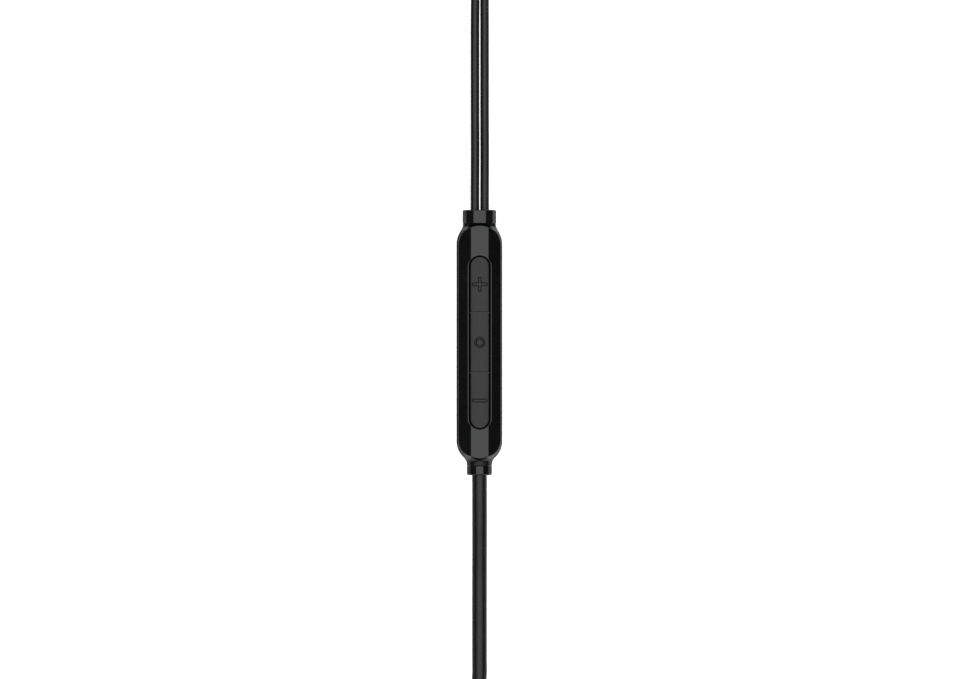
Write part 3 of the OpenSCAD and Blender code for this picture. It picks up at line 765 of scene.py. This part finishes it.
PLUG_Y = -104.0
relief = [(0, 0.5, 0), (1.28, 0.5, 0.0), (1.32, 0.0, 0.1), (1.6, 0.0, 0.12)]
for i in range(5):
    y = 0.7 + 1.15 * i
    r = 1.6 + 0.7 * y / 7.5
    relief += [(r, y, 0.07), (r - 0.26, y + 0.08, 0.06), (r - 0.26, y + 0.5, 0.06), (r + 0.04, y + 0.58, 0.07)]
relief += [(2.25, 6.9, 0.2), (2.28, 7.5, 0.0), (0, 7.5, 0)]
plug_relief = link(lathe("plug_strain_relief", rounded(relief), PLUG_X, PLUG_Z, PLUG_Y, 56), "base", "plug_rubber", ["plug_relief"])
grip = [(0, 7.5, 0), (2.55, 7.5, 0.12), (3.08, 9.0, 0.8), (3.2, 12.0, 2.0), (3.2, 23.2, 0.05), (3.08, 23.3, 0.05), (3.08, 23.5, 0.05),
        (3.18, 23.6, 0.06), (3.1, 24.05, 0.25), (2.72, 24.6, 0.25), (2.32, 24.98, 0.1), (0, 24.98, 0)]
plug_grip = link(lathe("plug_moulded_grip", finer(rounded(grip, 0.1, 4), 0.5), PLUG_X, PLUG_Z, PLUG_Y, 140, flutes), "base", "plug_rubber", ["plug_grip"])
for name, node, a, b in (("plug_sleeve_contact", "plug_sleeve", 0.0, 4.98), ("plug_ring_contact_b", "plug_ring_b", 5.52, 7.38),
                         ("plug_ring_contact_a", "plug_ring_a", 7.92, 9.78)):
    link(lathe(name, finer(rounded([(1.16, a), (1.75, a), (1.75, b), (1.16, b)], 0.06, 4), 0.4), PLUG_X, PLUG_Z, PIN_Y, 64),
                         "base", "contact_gold", [node])
link(lathe("plug_tip_contact", rounded([(0, 10.32, 0), (1.75, 10.32, 0.05), (1.75, 10.9, 0.12), (1.3, 11.5, 0.3), (1.7, 12.5, 0.35),
                                                        (0.8, 13.75, 0.5), (0, 14.0, 0)], 0.1, 8), PLUG_X, PLUG_Z, PIN_Y, 64),
                     "base", "contact_gold", ["plug_tip"])
core = [(0, 0.05, 0), (1.14, 0.05, 0)]
for a, b in ((5.0, 5.5), (7.4, 7.9), (9.8, 10.3)):
    core += [(1.14, a, 0), (1.71, a, 0.04), (1.71, b, 0.04), (1.14, b, 0)]
core[-1] = (0, 10.3, 0)
link(lathe("plug_pin_core", rounded(core, 0.03, 3), PLUG_X, PLUG_Z, PIN_Y, 64), "base", "plug_insulator", ["plug_core"])


# ---------------------------------------------------------------- ties

def strap(name, middle_x, middle_y, half, height, thick, wide):
    """A rubber band once round a hank, its free end lapped over the top and held by a stud."""
    loop = []
    hx, zl, zh = half + thick / 2, thick / 2, height - thick / 2
    corner = 1.3

    def arc(cx, cz, a0, a1, r):
        return [(cx + r * math.cos(a), cz + r * math.sin(a)) for a in np.linspace(math.radians(a0), math.radians(a1), 9)]

    loop += [(1.9, zh - 0.0)]
    loop += arc(-hx + corner, zh - corner, 90, 180, corner)
    loop += arc(-hx + corner, zl + corner * 0.8, 180, 270, corner * 0.8 if corner * 0.8 < zl + corner else corner)
    loop += arc(hx - corner, zl + corner * 0.8, 270, 360, corner * 0.8)
    loop += arc(hx - corner, zh - corner, 0, 90, corner)
    lap = thick * 0.8
    for u in np.linspace(0, 1, 8):
        loop.append((hx - corner - 0.4 - u * (hx - corner + 0.9), zh + lap * float(smooth01(u * 2.4))))
    line = np.array([(p[0], 0.0, p[1]) for p in loop])
    line = even(line, 0.28)
    for _ in range(3):
        line[1:-1] = 0.25 * line[:-2] + 0.5 * line[1:-1] + 0.25 * line[2:]
    along = np.concatenate([[0], np.cumsum(np.linalg.norm(np.diff(line, axis=0), axis=1))])
    total = along[-1]
    verts, faces = [], []
    outline = rounded([(-wide / 2 + 100, -thick / 2), (wide / 2 + 100, -thick / 2), (wide / 2 + 100, thick / 2), (-wide / 2 + 100, thick / 2)], 0.17, 3)
    outline = finer(outline, 0.5)
    m = len(outline)
    for i, p in enumerate(line):
        t = line[min(i + 1, len(line) - 1)] - line[max(i - 1, 0)]
        t /= np.linalg.norm(t)
        n = np.array([-t[2], 0, t[0]])
        n = -n
        left = total - along[i]
        full = math.sqrt(max(0.0, 1 - (1 - min(1.0, (left + 0.02) / (wide * 0.42))) ** 2)) if left < wide * 0.42 else 1.0
        thin = 1.0 if left > 0.25 else 0.55 + 0.45 * left / 0.25
        for a, b in outline:
            q = p + n * b * thin
            verts.append((middle_x + q[0], middle_y + (a - 100) * max(full, 0.08), q[2]))
    for i in range(len(line) - 1):
        for k in range(m):
            j = (k + 1) % m
            faces.append((i * m + k, i * m + j, (i + 1) * m + j, (i + 1) * m + k))
    faces.append(tuple(range(m)))
    faces.append(tuple((len(line) - 1) * m + k for k in reversed(range(m))))
    band = tidy(mesh_object(name, verts, faces))
    return band


def stud(name, x, y, z):
    """A round stud with a wider rounded head, standing along Z."""
    piece = lathe(name, rounded([(0, -0.9, 0), (0.55, -0.9, 0.0), (0.55, 0.0, 0.1), (0.95, 0.0, 0.12), (0.9, 0.3, 0.22), (0, 0.42, 0)], 0.1, 5), 0, 0, 0, 40)
    piece.data.transform(Matrix.Translation((x * MM, y * MM, z * MM)) @ Matrix.Rotation(math.radians(90), 4, "X"))
    return piece


up_band = link(strap("upper_tie_band", UX, 80.7, 4.5, 6.5, 0.55, 6.0), "base", "tie_rubber", ["upper_tie"])
low_band = link(strap("lower_tie_band", HX, -90.0, 7.6, 8.3, 0.7, 8.0), "base", "tie_rubber", ["lower_tie"])
up_stud = link(stud("upper_tie_stud", UX + 0.6, 80.7, 6.84), "base", "tie_rubber")
low_stud = link(stud("lower_tie_stud", HX + 0.6, -90.0, 8.76), "base", "tie_rubber")


# ---------------------------------------------------------------- materials

def finish_of(name, color, other, rough, rough_span=0.06, grain=(9000.0, 0.3, 0.000004), cloud=350.0, metallic=0.0,
              specular=0.5, coat=0.0, coat_rough=0.08, streak=None, sheen=0.0, ior=1.5, second=None):
    """A moulded or metal surface: two close tones in soft clouds, roughness that varies, a fine grain as bump,
    and streaks (scale along x, y, z) for brushed or drawn surfaces."""
    m = bpy.data.materials.new(name)
    m.use_nodes = True
    tree = m.node_tree
    tree.nodes.clear()
    n, l = tree.nodes.new, tree.links.new
    out, bsdf = n("ShaderNodeOutputMaterial"), n("ShaderNodeBsdfPrincipled")
    l(bsdf.outputs[0], out.inputs[0])
    bsdf.inputs["Metallic"].default_value = metallic
    bsdf.inputs["Specular IOR Level"].default_value = specular
    bsdf.inputs["IOR"].default_value = ior
    bsdf.inputs["Coat Weight"].default_value = coat
    bsdf.inputs["Coat Roughness"].default_value = coat_rough
    bsdf.inputs["Sheen Weight"].default_value = sheen
    place = n("ShaderNodeTexCoord")
    clouds = n("ShaderNodeTexNoise")
    clouds.inputs["Scale"].default_value = cloud
    clouds.inputs["Detail"].default_value = 5
    clouds.inputs["Roughness"].default_value = 0.6
    l(place.outputs["Object"], clouds.inputs["Vector"])
    ramp = n("ShaderNodeValToRGB")
    ramp.color_ramp.elements[0].position, ramp.color_ramp.elements[1].position = 0.3, 0.72
    ramp.color_ramp.elements[0].color = (*color, 1)
    ramp.color_ramp.elements[1].color = (*other, 1)
    l(clouds.outputs["Fac"], ramp.inputs["Fac"])
    l(ramp.outputs["Color"], bsdf.inputs["Base Color"])
    wear = n("ShaderNodeTexNoise")
    wear.inputs["Scale"].default_value = cloud * 3.1
    wear.inputs["Detail"].default_value = 6
    if streak:
        stretch = n("ShaderNodeMapping")
        stretch.inputs["Scale"].default_value = streak
        l(place.outputs["Object"], stretch.inputs["Vector"])
        l(stretch.outputs["Vector"], wear.inputs["Vector"])
    else:
        l(place.outputs["Object"], wear.inputs["Vector"])
    spread = n("ShaderNodeMapRange")
    spread.inputs["From Min"].default_value, spread.inputs["From Max"].default_value = 0.3, 0.7
    spread.inputs["To Min"].default_value, spread.inputs["To Max"].default_value = rough - rough_span, rough + rough_span
    l(wear.outputs["Fac"], spread.inputs["Value"])
    l(spread.outputs["Result"], bsdf.inputs["Roughness"])
    fine = n("ShaderNodeTexNoise")
    fine.inputs["Scale"].default_value = grain[0]
    fine.inputs["Detail"].default_value = 3
    l((stretch.outputs["Vector"] if streak else place.outputs["Object"]), fine.inputs["Vector"])
    bump = n("ShaderNodeBump")
    bump.inputs["Strength"].default_value = grain[1]
    bump.inputs["Distance"].default_value = grain[2]
    l(fine.outputs["Fac"], bump.inputs["Height"])
    l(bump.outputs["Normal"], bsdf.inputs["Normal"])
    return m


shell_gloss = finish_of("gloss_black_plastic", (0.0034, 0.0042, 0.0042), (0.0050, 0.0058, 0.0058), 0.13, 0.03, (2500.0, 0.12, 0.000002), 160.0)
gland_gloss = finish_of("gloss_black_sleeve", (0.0040, 0.0046, 0.0046), (0.0056, 0.0062, 0.0062), 0.17, 0.03, (3200.0, 0.15, 0.000002), 260.0)
key_satin = finish_of("satin_black_key", (0.0110, 0.0106, 0.0098), (0.0142, 0.0136, 0.0126), 0.34, 0.03, (14000.0, 0.35, 0.000003), 420.0, specular=0.34)
# near-black, rough, dull finish for the keys' sides: painted shade that darkens the gap between key and slot
key_gap_painted_shade = finish_of("key_gap_painted_shade", (0.002, 0.002, 0.002), (0.003, 0.003, 0.003), 0.8, 0.05, (9000.0, 0.4, 0.000004), 420.0, specular=0.2)
cord_jacket = finish_of("satin_black_jacket", (0.0070, 0.0070, 0.0070), (0.0110, 0.0110, 0.0108), 0.31, 0.05, (5200.0, 0.30, 0.000004), 260.0, specular=0.38)
tie_rubber = finish_of("tie_rubber", (0.018, 0.018, 0.019), (0.030, 0.030, 0.032), 0.62, 0.07, (7000.0, 0.6, 0.00001), 300.0, sheen=0.1)
plug_rubber = finish_of("plug_rubber", (0.012, 0.012, 0.013), (0.020, 0.020, 0.021), 0.44, 0.06, (9000.0, 0.45, 0.000006), 240.0)
plug_insulator = finish_of("pin_insulator", (0.010, 0.010, 0.010), (0.016, 0.016, 0.016), 0.36, 0.05, (8000.0, 0.3, 0.000003), 500.0)
contact_gold = finish_of("gold_plate", (0.83, 0.60, 0.27), (0.90, 0.70, 0.36), 0.19, 0.06, (1500.0, 0.25, 0.000003), 420.0, 1.0, streak=(1.0, 14.0, 1.0))
bud_relief = finish_of("relief_rubber", (0.012, 0.012, 0.013), (0.019, 0.019, 0.020), 0.5, 0.06, (9000.0, 0.5, 0.000006), 260.0)
bud_shell = finish_of("bud_gloss_plastic", (0.006, 0.006, 0.007), (0.010, 0.010, 0.011), 0.15, 0.04, (2600.0, 0.14, 0.000002), 150.0)
bud_front = finish_of("bud_satin_plastic", (0.011, 0.011, 0.012), (0.016, 0.016, 0.017), 0.36, 0.05, (12000.0, 0.4, 0.000004), 220.0)
tip_silicone = finish_of("tip_silicone", (0.022, 0.022, 0.024), (0.032, 0.032, 0.034), 0.46, 0.06, (6500.0, 0.4, 0.000005), 180.0, sheen=0.15, ior=1.42)
mesh_steel = finish_of("mesh_steel", (0.50, 0.51, 0.53), (0.62, 0.63, 0.65), 0.30, 0.08, (12000.0, 0.2, 0.000002), 900.0, 1.0)
driver_steel = finish_of("driver_steel", (0.42, 0.43, 0.45), (0.55, 0.56, 0.58), 0.34, 0.08, (2500.0, 0.3, 0.000003), 500.0, 1.0, streak=(1.0, 6.0, 1.0))
dome_steel = finish_of("dome_steel", (0.52, 0.53, 0.55), (0.63, 0.64, 0.66), 0.26, 0.07, (5000.0, 0.2, 0.000002), 700.0, 1.0)
mat_rubber = finish_of("mat_rubber", (0.016, 0.016, 0.017), (0.026, 0.026, 0.028), 0.6, 0.06, (8000.0, 0.5, 0.000006), 350.0)
chip_black = finish_of("chip_moulding", (0.014, 0.014, 0.015), (0.024, 0.024, 0.025), 0.55, 0.06, (16000.0, 0.5, 0.000005), 900.0)
mic_can = finish_of("mic_can", (0.72, 0.60, 0.38), (0.80, 0.70, 0.48), 0.28, 0.07, (5000.0, 0.3, 0.000003), 800.0, 1.0)
crimp_brass = finish_of("crimp_brass", (0.70, 0.50, 0.22), (0.80, 0.62, 0.32), 0.33, 0.08, (3500.0, 0.4, 0.000005), 700.0, 1.0, streak=(6.0, 1.0, 1.0))
wire_copper = finish_of("enamelled_copper", (0.45, 0.14, 0.05), (0.62, 0.24, 0.09), 0.25, 0.06, (6000.0, 0.2, 0.000002), 900.0, 1.0)
diaphragm_film = finish_of("diaphragm_film", (0.55, 0.42, 0.20), (0.66, 0.52, 0.28), 0.22, 0.06, (3000.0, 0.4, 0.000004), 600.0)
board_mask = finish_of("board_mask", (0.010, 0.085, 0.040), (0.018, 0.125, 0.060), 0.32, 0.07, (4500.0, 0.5, 0.000008), 520.0)

by_slot = {"shell_gloss": shell_gloss, "gland_gloss": gland_gloss, "key_satin": key_satin, "cord_jacket": cord_jacket,
           "tie_rubber": tie_rubber, "plug_rubber": plug_rubber, "plug_insulator": plug_insulator, "contact_gold": contact_gold,
           "bud_relief": bud_relief, "bud_shell": bud_shell, "bud_front": bud_front, "tip_silicone": tip_silicone, "mesh_steel": mesh_steel}
by_node = {"key_mat": mat_rubber, "circuit_board": board_mask, "up_dome": dome_steel, "call_dome": dome_steel, "down_dome": dome_steel,
           "control_chip": chip_black, "microphone": mic_can, "microphone_gasket": mat_rubber, "upper_crimp": crimp_brass,
           "lower_crimp": crimp_brass, "upper_wires": wire_copper, "lower_wires": wire_copper}
for label in ("left", "right"):
    by_node.update({label + "_knot": cord_jacket, label + "_driver_frame": driver_steel, label + "_magnet": driver_steel,
                    label + "_diaphragm": diaphragm_film})
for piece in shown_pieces():
    finish = by_node.get(piece.get("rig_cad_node")) or by_slot.get(piece.get("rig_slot"))
    if finish is None:
        continue
    piece.data.materials.clear()
    piece.data.materials.append(finish)
    if finish is key_satin:                       # the key's sides below its top get a near-black, dull finish: painted shade in the gap between key and slot
        piece.data.materials.append(key_gap_painted_shade)
        for face in piece.data.polygons:
            face.material_index = 1 if face.center.z < 5.35 * MM else 0


# ---------------------------------------------------------------- floor and studio light

def disc(name, radius, rings, segs):
    verts, faces = [(0, 0, 0)], []
    for i in range(1, rings + 1):
        r = radius * (i / rings) ** 2
        verts += [(r * math.cos(2 * math.pi * k / segs), r * math.sin(2 * math.pi * k / segs), 0) for k in range(segs)]
    for k in range(segs):
        faces.append((0, 1 + k, 1 + (k + 1) % segs))
        for i in range(1, rings):
            a, b = 1 + (i - 1) * segs, 1 + i * segs
            faces.append((a + k, b + k, b + (k + 1) % segs, a + (k + 1) % segs))
    mesh = bpy.data.meshes.new(name)
    mesh.from_pydata(verts, [], faces)
    obj = bpy.data.objects.new(name, mesh)
    scene.collection.objects.link(obj)
    return obj


floor = disc("floor", 9.0, 12, 64)
floor.location.z = -0.00003
floor.visible_glossy = False
paper = bpy.data.materials.new("pale_floor")
paper.use_nodes = True
tree = paper.node_tree
bsdf = tree.nodes["Principled BSDF"]
bsdf.inputs["Roughness"].default_value = 0.75
bsdf.inputs["Specular IOR Level"].default_value = 0.2
bsdf.inputs["Emission Color"].default_value = (1.0, 1.0, 1.0, 1)
bsdf.inputs["Emission Strength"].default_value = 0.80
place = tree.nodes.new("ShaderNodeTexCoord")
fibres = tree.nodes.new("ShaderNodeTexNoise")
fibres.inputs["Scale"].default_value = 900.0
fibres.inputs["Detail"].default_value = 4
tree.links.new(place.outputs["Object"], fibres.inputs["Vector"])
ramp = tree.nodes.new("ShaderNodeValToRGB")
ramp.color_ramp.elements[0].color = (0.86, 0.86, 0.86, 1)
ramp.color_ramp.elements[1].color = (0.90, 0.90, 0.90, 1)
tree.links.new(fibres.outputs["Fac"], ramp.inputs["Fac"])
tree.links.new(ramp.outputs["Color"], bsdf.inputs["Base Color"])
floor.data.materials.append(paper)

world = bpy.data.worlds.new("studio")
scene.world = world
world.use_nodes = True
tree = world.node_tree
tree.nodes.clear()
n, l = tree.nodes.new, tree.links.new
out, sky = n("ShaderNodeOutputWorld"), n("ShaderNodeBackground")
l(sky.outputs[0], out.inputs[0])
place = n("ShaderNodeTexCoord")
total = None


def lamp(direction, inner, outer, strength):
    """A soft round lamp far away: full within inner degrees of its direction, fading out at outer degrees."""
    global total
    d = Vector(direction).normalized()
    dot = n("ShaderNodeVectorMath")
    dot.operation = "DOT_PRODUCT"
    dot.inputs[1].default_value = d
    l(place.outputs["Generated"], dot.inputs[0])
    fade = n("ShaderNodeMapRange")
    fade.interpolation_type = "SMOOTHSTEP"
    fade.inputs["From Min"].default_value, fade.inputs["From Max"].default_value = math.cos(math.radians(outer)), math.cos(math.radians(inner))
    fade.inputs["To Min"].default_value, fade.inputs["To Max"].default_value = 0.0, strength
    l(dot.outputs["Value"], fade.inputs["Value"])
    if total is None:
        total = fade.outputs["Result"]
    else:
        add = n("ShaderNodeMath")
        add.operation = "ADD"
        l(total, add.inputs[0])
        l(fade.outputs["Result"], add.inputs[1])
        total = add.outputs["Value"]


lamp((0.0, 0.10, 1.0), 6, 60, 1.78)
lamp((0.0, 0.0, 1.0), 60, 100, 0.012)
lamp((0.0, -0.97, 0.24), 12, 60, 0.5)


def value_of(kind, *inputs):
    node = n("ShaderNodeMath")
    node.operation = kind
    for i, v in enumerate(inputs):
        if isinstance(v, (int, float)):
            node.inputs[i].default_value = v
        else:
            l(v, node.inputs[i])
    return node.outputs["Value"]


def eased(value, low, high):
    node = n("ShaderNodeMapRange")
    node.interpolation_type = "SMOOTHSTEP"
    node.inputs["From Min"].default_value, node.inputs["From Max"].default_value = low, high
    l(value, node.inputs["Value"])
    return node.outputs["Result"]


# a soft band of light from below the table's edge, all round, stronger from the far side and the right
apart = n("ShaderNodeSeparateXYZ")
l(place.outputs["Generated"], apart.inputs["Vector"])
down = value_of("MULTIPLY", apart.outputs["Z"], -1.0)
band = eased(down, -0.02, 0.16)
deep = value_of("MINIMUM", value_of("SUBTRACT", 0.88, value_of("MULTIPLY", apart.outputs["X"], 0.8)), 0.93)
deep = value_of("MULTIPLY", eased(down, 0.8, 0.93), deep)
band = value_of("MULTIPLY", band, value_of("SUBTRACT", 1.0, deep))
far = value_of("MULTIPLY", value_of("MAXIMUM", apart.outputs["Y"], 0.0), 0.75)
near = value_of("MULTIPLY", value_of("MAXIMUM", value_of("MULTIPLY", apart.outputs["Y"], -1.0), 0.0), 0.45)
right = value_of("MULTIPLY", value_of("MAXIMUM", apart.outputs["X"], 0.0), 0.25)
around = value_of("MULTIPLY", band, value_of("ADD", value_of("ADD", value_of("ADD", far, near), right), 0.4))
l(value_of("ADD", total, around), sky.inputs["Strength"])
sky.inputs["Color"].default_value = (1.0, 1.0, 1.0, 1)

key = bpy.data.lights.new("overhead_softbox", "AREA")
key.shape = "DISK"
key.size = 0.9
key.energy = 1.0
key_obj = bpy.data.objects.new("overhead_softbox", key)
key_obj.location = (0.45, 0.75, 1.25)
key_obj.rotation_mode = "QUATERNION"
key_obj.rotation_quaternion = Vector(key_obj.location).to_track_quat("Z", "Y")
scene.collection.objects.link(key_obj)

scene.view_settings.view_transform = "Standard"
scene.view_settings.look = "None"
scene.view_settings.exposure = 0.0
scene.view_settings.gamma = 1.0
